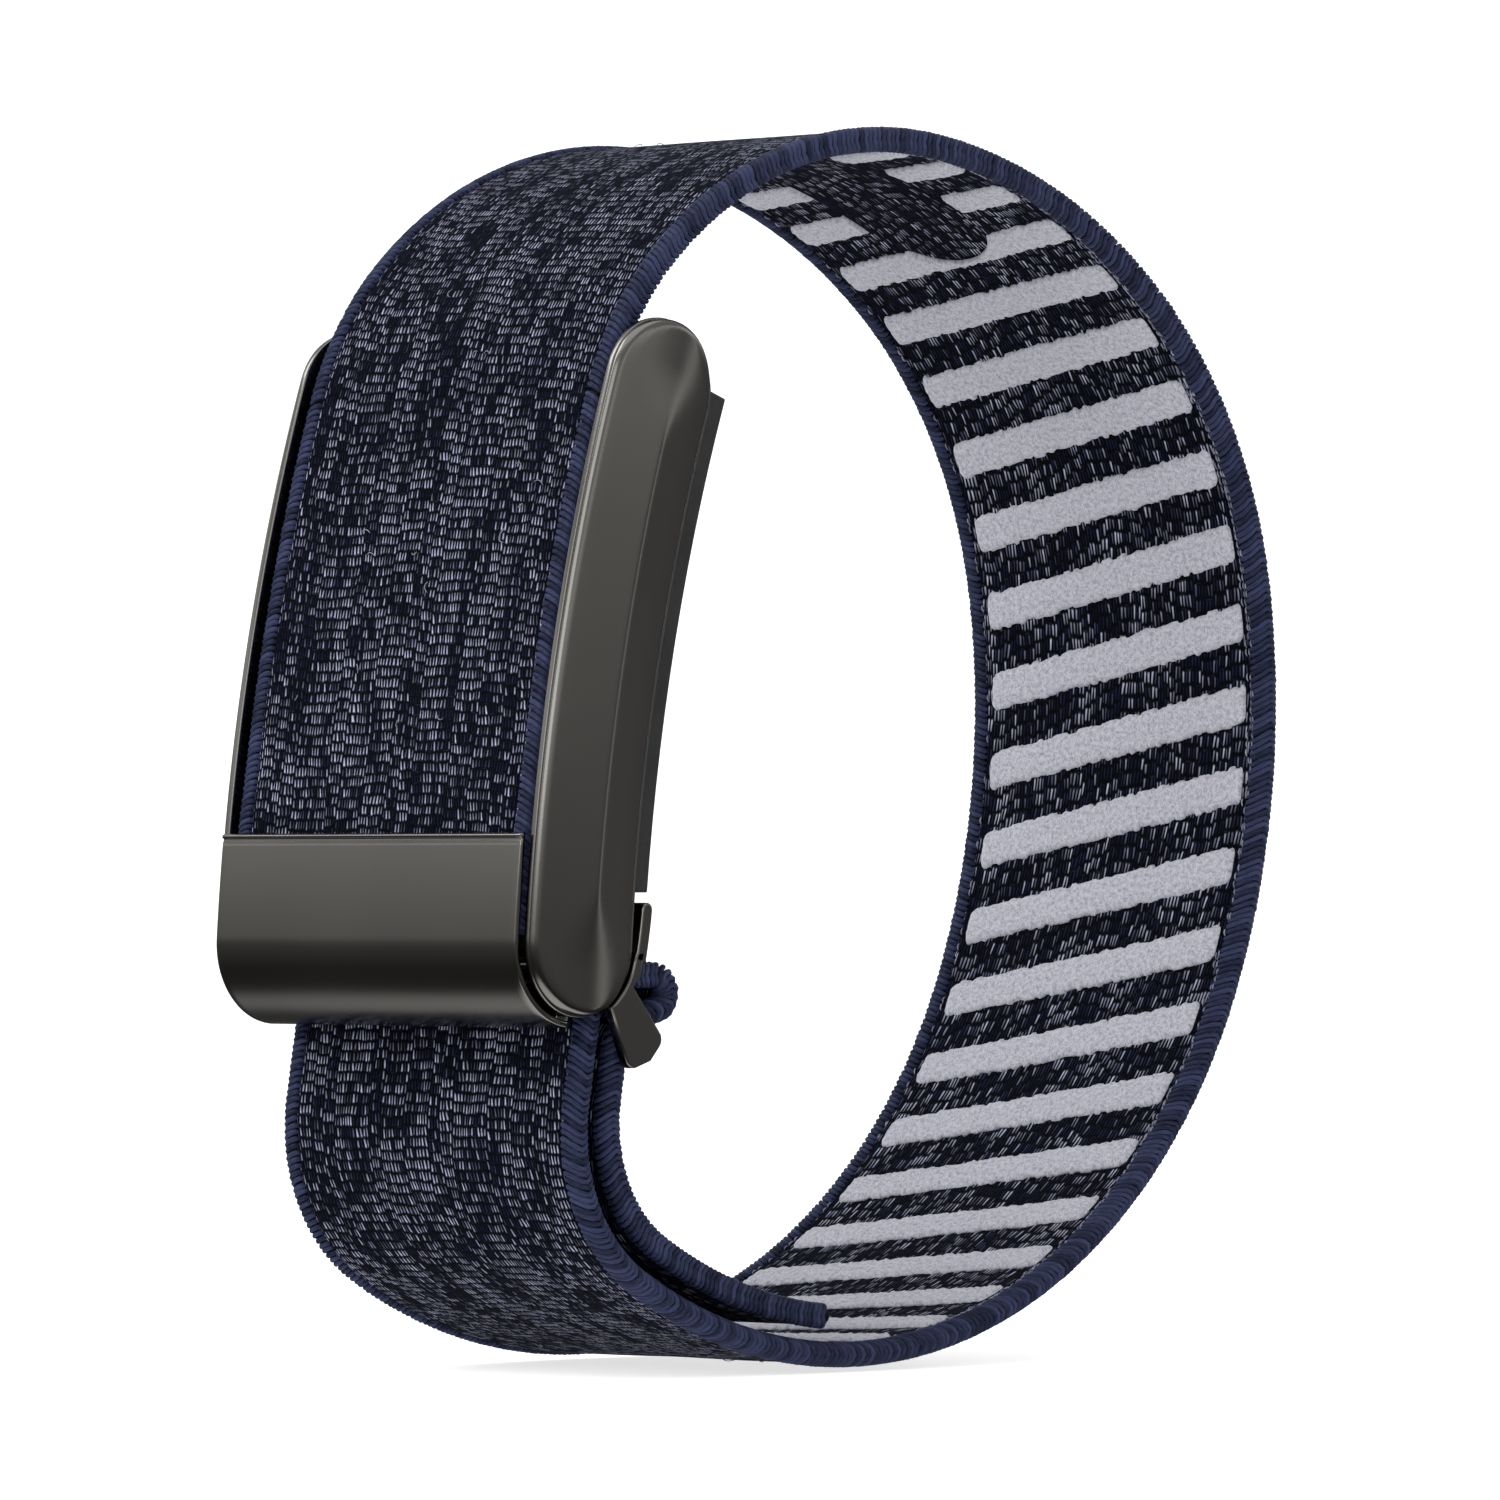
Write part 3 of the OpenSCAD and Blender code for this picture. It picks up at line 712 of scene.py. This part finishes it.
def stripe_spans(centre):
    """Stretches (x values, low edge, high edge) of one grip stripe, with the tongue left out."""
    x = np.arange(STRIPE_X[0], STRIPE_X[1] + 0.01, 0.12)
    thread_id = np.floor(x / 0.42).astype(int)
    steps = np.random.default_rng(int(centre * 10)).uniform(-1, 1, (2, 60))
    middle = centre - x * STRIPE_SLANT
    slow = np.stack([waves(x, 0, int(centre * 7), 0.8), waves(x, 5, int(centre * 9), 0.8)])
    ragged = 0.10 * steps[:, thread_id + 30] + 0.05 * slow
    low, high = middle - STRIPE_W / 2 + ragged[0], middle + STRIPE_W / 2 + ragged[1]
    end = np.minimum(x - STRIPE_X[0], STRIPE_X[1] - x)
    pinch = 0.5 * np.clip(1 - end / 0.45, 0, 1) ** 2
    low, high = low + pinch, high - pinch
    inside = np.abs(x) < TONGUE_R
    top = TONGUE_TO - TONGUE_R + np.sqrt(np.clip(TONGUE_R ** 2 - x ** 2, 0, None))
    low = np.where(inside & (low > TONGUE_FROM), np.maximum(low, top), low)
    good = high - low > 0.35
    spans, run = [], []
    for k in range(len(x) + 1):
        if k < len(x) and good[k]:
            run.append(k)
        else:
            if len(run) > 6:
                spans.append((x[run], low[run], high[run]))
            run = []
    return spans


def grip_stripes():
    """Raised stripes of pile, domed, with ragged edges where they meet the weave."""
    # Places across a stripe, as shares of its width, and how much of the pile's height is there.
    share = np.array([0, 0.03, 0.08, 0.15, 0.25, 0.37, 0.5, 0.63, 0.75, 0.85, 0.92, 0.97, 1])
    dome = np.array([0, 0.45, 0.75, 0.92, 0.99, 1, 1, 1, 0.99, 0.92, 0.75, 0.45, 0])
    verts, faces, uv, first = [], [], [], 0
    for i in range(STRIPE_COUNT):
        for x, low, high in stripe_spans(FIRST_STRIPE + i * STRIPE_PITCH):
            s = low[:, None] + (high - low)[:, None] * share[None, :]
            rim = np.minimum(np.arange(len(x)), np.arange(len(x))[::-1]) / 3.0
            fade = np.sqrt(1 - (1 - np.clip(rim, 0, 1)) ** 2)
            height = PILE_H * dome[None, :] * fade[:, None]
            tuft = 1 + 0.16 * waves(x[:, None], s, 5, 0.55) + 0.10 * rng.uniform(-1, 1, s.shape)
            n = -WEB_T / 2 + 0.06 - height * tuft
            verts.append(put(x[:, None], s, n).reshape(-1, 3))
            uv.append(cloth_at(x[:, None], s))
            rows, columns = s.shape
            faces += quads(rows, columns, first)
            for r in range(rows - 1):
                a, b = first + r * columns, first + (r + 1) * columns
                faces.append((a, b, b + columns - 1, a + columns - 1))
            faces.append(tuple(range(first, first + columns))[::-1])
            faces.append(tuple(range(first + (rows - 1) * columns, first + rows * columns)))
            first += rows * columns
    obj = make("plush_stripes", np.concatenate(verts), faces, [PILE], np.concatenate(uv))
    return outward(obj)


def border_stitches():
    """Fine pale stitches that show along the inner border of the sewn edges."""
    lines, away = [], []
    # Each column of stitches is at x0 and shows a share of its stitches.
    for x0, share in ((11.22, 0.9), (11.45, 0.55), (-11.1, 0.35), (10.95, 0.25)):
        for s0 in np.arange(6.0, RING_LENGTH - 8, 0.52):
            if rng.random() > share * (0.75 + 0.25 * math.sin(s0 / 9)):
                continue
            t = np.linspace(0, 1, 5)
            slant = rng.normal(0.05, 0.03)
            s = s0 + 0.48 * t
            x = x0 + slant * (t - 0.5) + 0.05 * math.sin(s0 / 3.1)
            n = -WEB_T / 2 - 0.03 - 0.09 * np.sin(math.pi * t) - (0.06 if abs(x0) > WEB_HALF else 0.0)
            lines.append(put(x, s, n))
            away.append(put(x + 0.05, s, n) - put(x, s, n))
    radius = rng.uniform(0.035, 0.055, len(lines))
    obj = tubes("border_stitches", np.array(lines), np.array(away), radius, 5, PALE_THREAD)
    return obj


def stray_fibres(name, start, end, count):
    """Loose pale fibres that stand a little off the outer weave."""
    lines, away = [], []
    for _ in range(count):
        x0, s0 = rng.uniform(-10.5, 10.5), rng.uniform(start + 1, end - 2)
        turn, reach = rng.uniform(0, 2 * math.pi), rng.uniform(0.35, 0.9)
        curl = rng.uniform(-2.5, 2.5)
        t = np.linspace(0, 1, 8)
        x = x0 + reach * t * np.cos(turn + curl * t)
        s = np.clip(s0 + reach * t * np.sin(turn + curl * t), start, end)
        n = WEB_T / 2 + 0.10 * np.sin(math.pi * t)
        lines.append(put(x, s, n))
        away.append(put(x, s, n + 0.05) - put(x, s, n))
    obj = tubes(name, np.array(lines), np.array(away), 0.028, 5, PALE_THREAD)
    return obj


strap = webbing("strap_body", 0.0, BODY_LENGTH)
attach(strap, "band")
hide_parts("strap_web")
edge_right, shaded_core_right = sewn_edge("sewn_edge_right", 0.0, BODY_LENGTH, (1,))
edge_left, shaded_core_left = sewn_edge("sewn_edge_left", 0.0, BODY_LENGTH, (-1,))
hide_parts("binding_right")
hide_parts("binding_left")
stripes = grip_stripes()
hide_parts("grip_stripes")
stitches = border_stitches()
fibres = stray_fibres("stray_fibres", 0.0, 160.0, 70)
body_pieces = [edge_right, shaded_core_right, edge_left, shaded_core_left, stripes, stitches, fibres]
for piece in body_pieces:
    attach(piece, "band")

# The stretch over the tracker's face, with its sewn edges and fibres, baked where it lies and attached to no
# body.
panel = webbing("strap_front", -FRONT_LENGTH, 0.0)
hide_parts("strap_front_panel")
front_edge, front_shaded_core = sewn_edge("front_sewn_edges", -FRONT_LENGTH, 0.0, (-1, 1))
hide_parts("front_bindings")
front_fibres = stray_fibres("front_stray_fibres", -22.0, 0.0, 14)
front_pieces = [front_edge, front_shaded_core, front_fibres]
for piece in [panel, *front_pieces]:
    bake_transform(piece)


# ---- the cradle and clasp ----------------------------------------------------------------------

def inside_outline(a, b):
    """How far (a, b) lies inside the cradle's side outline."""
    return RAIL_R - np.hypot(np.maximum(np.abs(a) - RAIL_FLAT, 0), b)


def side_rail(name, sign):
    """A rail that is widest along a ridge, with a rounded rim all round its outer face."""
    ends = RAIL_FLAT + RAIL_R * np.sin(np.radians(np.linspace(0, 90, 22)))
    a = np.concatenate([-ends[::-1], np.linspace(-RAIL_FLAT, RAIL_FLAT, 70)[1:-1], ends])
    depth = np.sqrt(np.clip(RAIL_R ** 2 - np.clip(np.abs(a) - RAIL_FLAT, 0, None) ** 2, 0, None))
    crest = RIDGE_B - RAIL_MID_B
    ridge = np.maximum(crest, -depth * 0.55)

    # Rows across the rail, closest together at its rounded rim and at the ridge.
    near = np.array([0, 0.03, 0.08, 0.15, 0.25, 0.36, 0.48])
    low_share = np.array([0.35, 0.6, 0.8, 0.9, 0.96])
    high_share = np.array([0, 0.025, 0.05, 0.1, 0.2, 0.4, 0.6, 0.8])
    rows = []
    for k in range(len(a)):
        low = -depth[k] + near * min(1, depth[k] / 1.2)
        start = low[-1]
        low = np.concatenate([low, start + (ridge[k] - start) * low_share])
        high_end = depth[k] - near[::-1] * min(1, depth[k] / 1.2)
        high = ridge[k] + (high_end[0] - ridge[k]) * high_share
        rows.append(np.concatenate([low, high, high_end]))
    b = np.array(rows)
    aa = np.broadcast_to(a[:, None], b.shape)

    # Two slopes meet at the ridge, which is crisp in the middle and fades towards the ends.
    back = RIDGE_X + (b - crest) * BACK_SLOPE
    front = RIDGE_X - (b - crest) * FRONT_SLOPE
    near_end = np.clip((np.abs(aa) - FADE_FROM) / FADE_LENGTH, 0, 1)
    soft = RIDGE_SOFT + RIDGE_FADE * near_end ** 2 * (3 - 2 * near_end)
    gap = np.clip(soft - np.abs(back - front), 0, None)
    top = np.minimum(back, front) - gap ** 2 / (4 * soft)
    d = RIM_ROUND - np.clip(inside_outline(aa, b), 0, RIM_ROUND)
    drop = RIM_ROUND - np.sqrt(np.clip(RIM_ROUND ** 2 - d ** 2, 0, None))
    x = np.maximum(top - drop, FLANGE_OUT + 0.02)
    yz = bent(b + RAIL_MID_B, aa)
    verts = np.concatenate([sign * x[..., None], yz], -1).reshape(-1, 3)
    obj = make(name, verts, quads(*b.shape), [GUNMETAL])
    mesh = bmesh.new()
    mesh.from_mesh(obj.data)
    bmesh.ops.remove_doubles(mesh, verts=mesh.verts, dist=1e-7)
    rim = [e for e in mesh.edges if e.is_boundary]
    grown = bmesh.ops.extrude_edge_only(mesh, edges=rim)["geom"]
    for v in grown:
        if isinstance(v, bmesh.types.BMVert):
            v.co.x = sign * FLANGE_OUT * MM
    bmesh.ops.holes_fill(mesh, edges=[e for e in mesh.edges if e.is_boundary])
    bmesh.ops.recalc_face_normals(mesh, faces=mesh.faces)
    for face in mesh.faces:
        face.smooth = len(face.verts) == 4
    mesh.to_mesh(obj.data)
    mesh.free()
    return obj


def cover_middle():
    """The middle line of the clasp cover in side view, from its upper edge round to its hinge."""
    radius = RAIL_R + COVER_GAP + COVER_T / 2
    front = RAIL_MID_B + radius
    top_a = (math.asin((COVER_TOP_Z - BEND_Z) / (BEND_R + front)) - TILT) * BEND_R
    near = top_a - np.array([0, 0.04, 0.09, 0.15, 0.21, 0.26, 0.3, 0.33, 0.36, 0.4, 0.5])
    a = np.concatenate([near, np.linspace(near[-1], -RAIL_FLAT, 26)[1:]])
    turn = np.radians(np.linspace(0, 90, 30)[1:])
    past = np.linspace(0.15, 1.6, 9)
    return np.concatenate([
        bent(np.full(len(a), front), a),
        bent(RAIL_MID_B + radius * np.cos(turn), -RAIL_FLAT - radius * np.sin(turn)),
        bent(RAIL_MID_B - past, -RAIL_FLAT - np.sqrt(radius ** 2 - past ** 2))])


def clasp_cover():
    """The thin J: a hemmed upper edge, rounded sides, and a hinge knuckle with its tab."""
    middle = cover_middle()
    stop = CLASP_AXIS[0] + 0.1
    middle = middle[: int(np.argmax(middle[:, 0] > stop)) or len(middle)]
    tangent = np.gradient(middle, axis=0)
    tangent /= np.linalg.norm(tangent, axis=1, keepdims=True)
    normal = np.stack([tangent[:, 1], -tangent[:, 0]], 1)
    normal *= -np.sign(normal[0, 0])

    # The hem is a bead along the upper edge with a groove below it, and the edge itself is rounded.
    hem, hem_h, groove, groove_d = 0.3, 0.09, 0.12, 0.05
    run = np.concatenate([[0], np.cumsum(np.linalg.norm(np.diff(middle, axis=0), axis=1))])
    bead = hem_h * np.sqrt(np.clip(1 - ((run - hem / 2) / (hem / 2)) ** 2, 0, 1))
    outer = COVER_T / 2 + np.where(run < hem, bead, 0)
    outer -= np.where((run > hem) & (run < hem + groove), groove_d, 0)
    inner = np.full(len(run), COVER_T / 2)
    edge = np.array([0.35, 0.7, 0.9])
    outer[:3] *= edge
    inner[:3] *= edge

    # Rings across the cover, closest together at its two bevelled sides.
    bevel = 0.13
    e = np.array([0, 0.08, 0.3, 0.65, 1.0]) * bevel
    flat = COVER_HALF - 0.6
    x = np.concatenate([-COVER_HALF + e, np.linspace(-flat, flat, 9), COVER_HALF - e[::-1]])
    deep = bevel - np.clip(COVER_HALF - np.abs(x), 0, bevel)
    inset = bevel - np.sqrt(np.clip(bevel ** 2 - deep ** 2, 0, None))
    rings = []
    for xv, cut in zip(x, inset):
        out = middle + normal * (outer - cut)[:, None]
        back = middle - normal * (inner - cut)[:, None]
        ring = np.concatenate([out, back[::-1]])
        rings.append(np.column_stack([np.full(len(ring), xv), ring]))
    sheet = make("cover_sheet", np.concatenate(rings), tube_faces(len(rings), len(rings[0])), [GUNMETAL])
    mesh = bmesh.new()
    mesh.from_mesh(sheet.data)
    bmesh.ops.remove_doubles(mesh, verts=mesh.verts, dist=2e-6)
    bmesh.ops.recalc_face_normals(mesh, faces=mesh.faces)
    mesh.to_mesh(sheet.data)
    mesh.free()
    tab = np.array(CLASP_AXIS) + [[-0.9, -1.45], [0.1, -1.5], [0.3, -0.5], [-0.6, -0.6]]
    barrel = arc(CLASP_AXIS, KNUCKLE_R, 0, 348.75, 32)
    parts = [(outline, -KNUCKLE_HALF, KNUCKLE_HALF) for outline in (barrel, tab)]
    knuckle = slabs("cover_knuckle", parts, GUNMETAL, 0.08)
    for piece in (sheet, knuckle):
        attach(piece, "clasp")
    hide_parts("clasp_cover")


def cradle_tray():
    """Two flanges whose edges stand a little proud of the rails, and the web between them."""
    lip = cradle_loop(FLANGE_PROUD, FLANGE_BACK_CUT)
    a = (np.linspace(*TRAY_WEB_PHI, 40) - TILT) * BEND_R
    back, front = (bent(np.full(len(a), b), a) for b in TRAY_WEB_B)
    web = np.concatenate([back, front[::-1]])
    parts = [(lip, FLANGE_IN, FLANGE_OUT), (lip, -FLANGE_OUT, -FLANGE_IN), (web, -FLANGE_IN, FLANGE_IN)]
    obj = slabs("tray_channel", parts, GUNMETAL, 0.09)
    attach(obj, "band")
    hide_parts("cradle_tray")


def buckle():
    """The hook plate behind the cradle, with ears on its pin and a side flange at each end."""
    middle, steps = [HOOK_TOP], 12
    for _ in range(steps):
        middle.append(go(middle[-1], HOOK_LENGTH / steps, HOOK_TURN / steps))
    line = np.array(middle)
    out = np.column_stack([-np.sin(line[:, 2]), np.cos(line[:, 2])]) * HOOK_HALF_T
    heading = math.degrees(HOOK_TOP[2])
    cap = arc(line[0, :2], HOOK_HALF_T, heading - 90, heading - 270, 7)[1:-1]
    plate = np.concatenate([line[:, :2] + out, (line[:, :2] - out)[::-1], cap])

    # A side flange: a narrow strip down beside the rail, then a wide tip with rounded corners.
    strip = [(-22.65, -12.0), (-22.0, -12.0), (-22.3, -13.4), (-22.9, -13.9)]
    rail_end = bent(RAIL_MID_B, -RAIL_FLAT)
    low = (np.array(FLANGE_NEAR) + FLANGE_FAR) / 2 + (0.55, -0.75)
    near = arc(FLANGE_NEAR, FLANGE_TIP_R, 39, -42, 8)
    far = arc(FLANGE_FAR, FLANGE_TIP_R, -72, -151, 8)
    side = np.concatenate([strip, near, [low], far, arc(rail_end, RAIL_R + 0.15, -59, -14, 12)])
    y, z = BUCKLE_AXIS
    ear = np.concatenate([arc(BUCKLE_AXIS, EAR_R, 90, 270, 14), [(y + 3.0, z - 0.35), (y + 3.0, z + 0.75)]])
    reach = BUCKLE_HALF + BUCKLE_T
    parts = [(plate, -reach, reach), (side, -reach, -BUCKLE_HALF), (side, BUCKLE_HALF, reach),
             (ear, -EAR_X[1], -EAR_X[0]), (ear, *EAR_X)]
    obj = slabs("adjuster_frame", parts, GUNMETAL, 0.12)
    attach(obj, "band")
    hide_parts("buckle_frame")


rail_right = side_rail("rail_right", 1)
rail_left = side_rail("rail_left", -1)
for rail, node in ((rail_right, "side_rail_right"), (rail_left, "side_rail_left")):
    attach(rail, "band")
    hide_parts(node)
clasp_cover()
cradle_tray()
buckle()


# ---- CAD nodes that stay, each with its finish -------------------------------------------------

FINISH = {
    "top_crossbar": STEEL, "clasp_pin": STEEL, "strap_clamp_bar": STEEL, "clamp_rivets": STEEL,
    "buckle_bars": GUNMETAL, "buckle_pin": STEEL, "pod_front_shell": PLASTIC, "pod_back_cover": PLASTIC,
    "pod_gasket": RUBBER, "optical_window": GLASS, "light_baffle": PLASTIC, "led_cluster": RESIN,
    "photodiodes": GLASS, "skin_temp_contact": STEEL, "charging_contacts": CONTACT, "main_pcb": BOARD,
    "shield_can": STEEL, "battery_cell": FOIL, "battery_tape": RUBBER, "battery_flex": CONTACT,
    "haptic_case": STEEL, "haptic_spring": STEEL, "haptic_mass": FOIL, "antenna": CONTACT,
}
# The radius of each node's edges; the nodes that aren't listed get SMALL_ROUND.
EDGE_ROUND = {"pod_front_shell": 0.25, "pod_back_cover": 0.22, "optical_window": 0.08,
              "skin_temp_contact": 0.12, "charging_contacts": 0.1}
SMALL_ROUND = 0.05

for node, finish in FINISH.items():
    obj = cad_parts[node]
    obj.data.materials.clear()
    obj.data.materials.append(finish)
    weld = obj.modifiers.new("weld", "WELD")
    weld.merge_threshold = 1e-6
    bevel = obj.modifiers.new("edges", "BEVEL")
    bevel.width = EDGE_ROUND.get(node, SMALL_ROUND) * MM
    bevel.segments = 3
    bevel.limit_method = "ANGLE"
    bevel.angle_limit = math.radians(42)
    level = obj.modifiers.new("shading", "WEIGHTED_NORMAL")
    level.keep_sharp = True


# ---- studio ------------------------------------------------------------------------------------

def studio_floor(z):
    """A pale round floor that curves up into a wall; profile is (radius, height) in metres."""
    profile = [(0.001, 0), (0.3, 0), (1.0, 0), (1.7, 0), (2.1, 0.04),
               (2.4, 0.18), (2.6, 0.45), (2.7, 0.9), (2.7, 2.6)]
    ring = 64
    turn = np.arange(ring) * 2 * math.pi / ring
    verts = [(r * math.cos(t), r * math.sin(t), z + h) for r, h in profile for t in turn]
    faces = quads(len(profile), ring, wrap=True) + [tuple(range(ring))]
    m = Shade("studio_paper")
    where = m.place()
    m.set(base_color=m.mix(m.noise(where, 3.0), colour("c8c8c8"), colour("cccccb")), roughness=0.9)
    m.set(emission_color=colour("ffffff"), emission_strength=0.7)
    floor = make("studio_floor", np.array(verts) / MM, faces, [m.material])
    floor.visible_glossy = False


def softbox(name, place, width, height, power):
    """A rectangular area light that faces the origin."""
    light = bpy.data.lights.new(name, "AREA")
    light.shape = "RECTANGLE"
    light.size, light.size_y, light.energy = width, height, power
    obj = bpy.data.objects.new(name, light)
    obj.location = place
    obj.rotation_mode = "QUATERNION"
    obj.rotation_quaternion = (-Vector(place)).to_track_quat("-Z", "Y")
    bpy.context.scene.collection.objects.link(obj)


# What the metal mirrors: (height from straight down at 0 to straight up at 1, brightness).
WORLD_STOPS = [(0.0, 1.3), (0.12, 1.1), (0.18, 0.05), (0.32, 0.05), (0.44, 0.11),
               (0.52, 0.13), (0.57, 0.55), (0.63, 1.15), (0.68, 0.4), (1.0, 0.5)]


def studio_world():
    """A surround that is bright below and a little above the horizon, and dark in between."""
    world = bpy.data.worlds.new("studio")
    world.use_nodes = True
    tree = world.node_tree
    place = tree.nodes.new("ShaderNodeTexCoord")
    apart = tree.nodes.new("ShaderNodeSeparateXYZ")
    ramp = tree.nodes.new("ShaderNodeValToRGB")
    height = tree.nodes.new("ShaderNodeMapRange")
    height.inputs[1].default_value = -1.0
    tree.links.new(place.outputs["Generated"], apart.inputs[0])
    tree.links.new(apart.outputs[2], height.inputs[0])
    tree.links.new(height.outputs[0], ramp.inputs[0])
    while len(ramp.color_ramp.elements) < len(WORLD_STOPS):
        ramp.color_ramp.elements.new(0.5)
    for element, (where, level) in zip(ramp.color_ramp.elements, WORLD_STOPS):
        element.position = where
        element.color = (level, level, level, 1)
    tree.links.new(ramp.outputs[0], tree.nodes["Background"].inputs[0])
    bpy.context.scene.world = world


# Lights and camera are in metres and watts; the floor is 0.3 mm under the strap.
studio_floor(cad_box[0].z - 0.0003)
studio_world()
softbox("key_left", (-0.6, -0.65, 0.95), 0.9, 0.75, 8)
softbox("fill_front", (0.45, -1.1, 0.5), 0.8, 0.6, 2.6)
softbox("top", (0.1, -0.1, 1.1), 1.2, 1.2, 3.4)
softbox("strip_back", (0.57, 0.88, 0.1), 0.12, 0.8, 0.22)
softbox("side_card", (1.05, 0.55, 0.1), 0.5, 0.8, 0.02)

camera_data = bpy.data.cameras.new("camera")
camera_data.lens = 255.45
camera_data.sensor_width = 36.0
camera_data.clip_start = 0.01
camera_data.clip_end = 20.0
camera = bpy.data.objects.new("camera", camera_data)
bpy.context.scene.collection.objects.link(camera)
DISTANCE, AZIMUTH, ELEVATION = 0.6385, math.radians(45), math.radians(-0.711)
level = math.cos(ELEVATION)
back = Vector((math.sin(AZIMUTH) * level, -math.cos(AZIMUTH) * level, math.sin(ELEVATION)))
camera.location = back * DISTANCE
camera.rotation_mode = "QUATERNION"
camera.rotation_quaternion = (-back).to_track_quat("-Z", "Y")
bpy.context.scene.camera = camera
bpy.context.scene.view_settings.view_transform = "Standard"
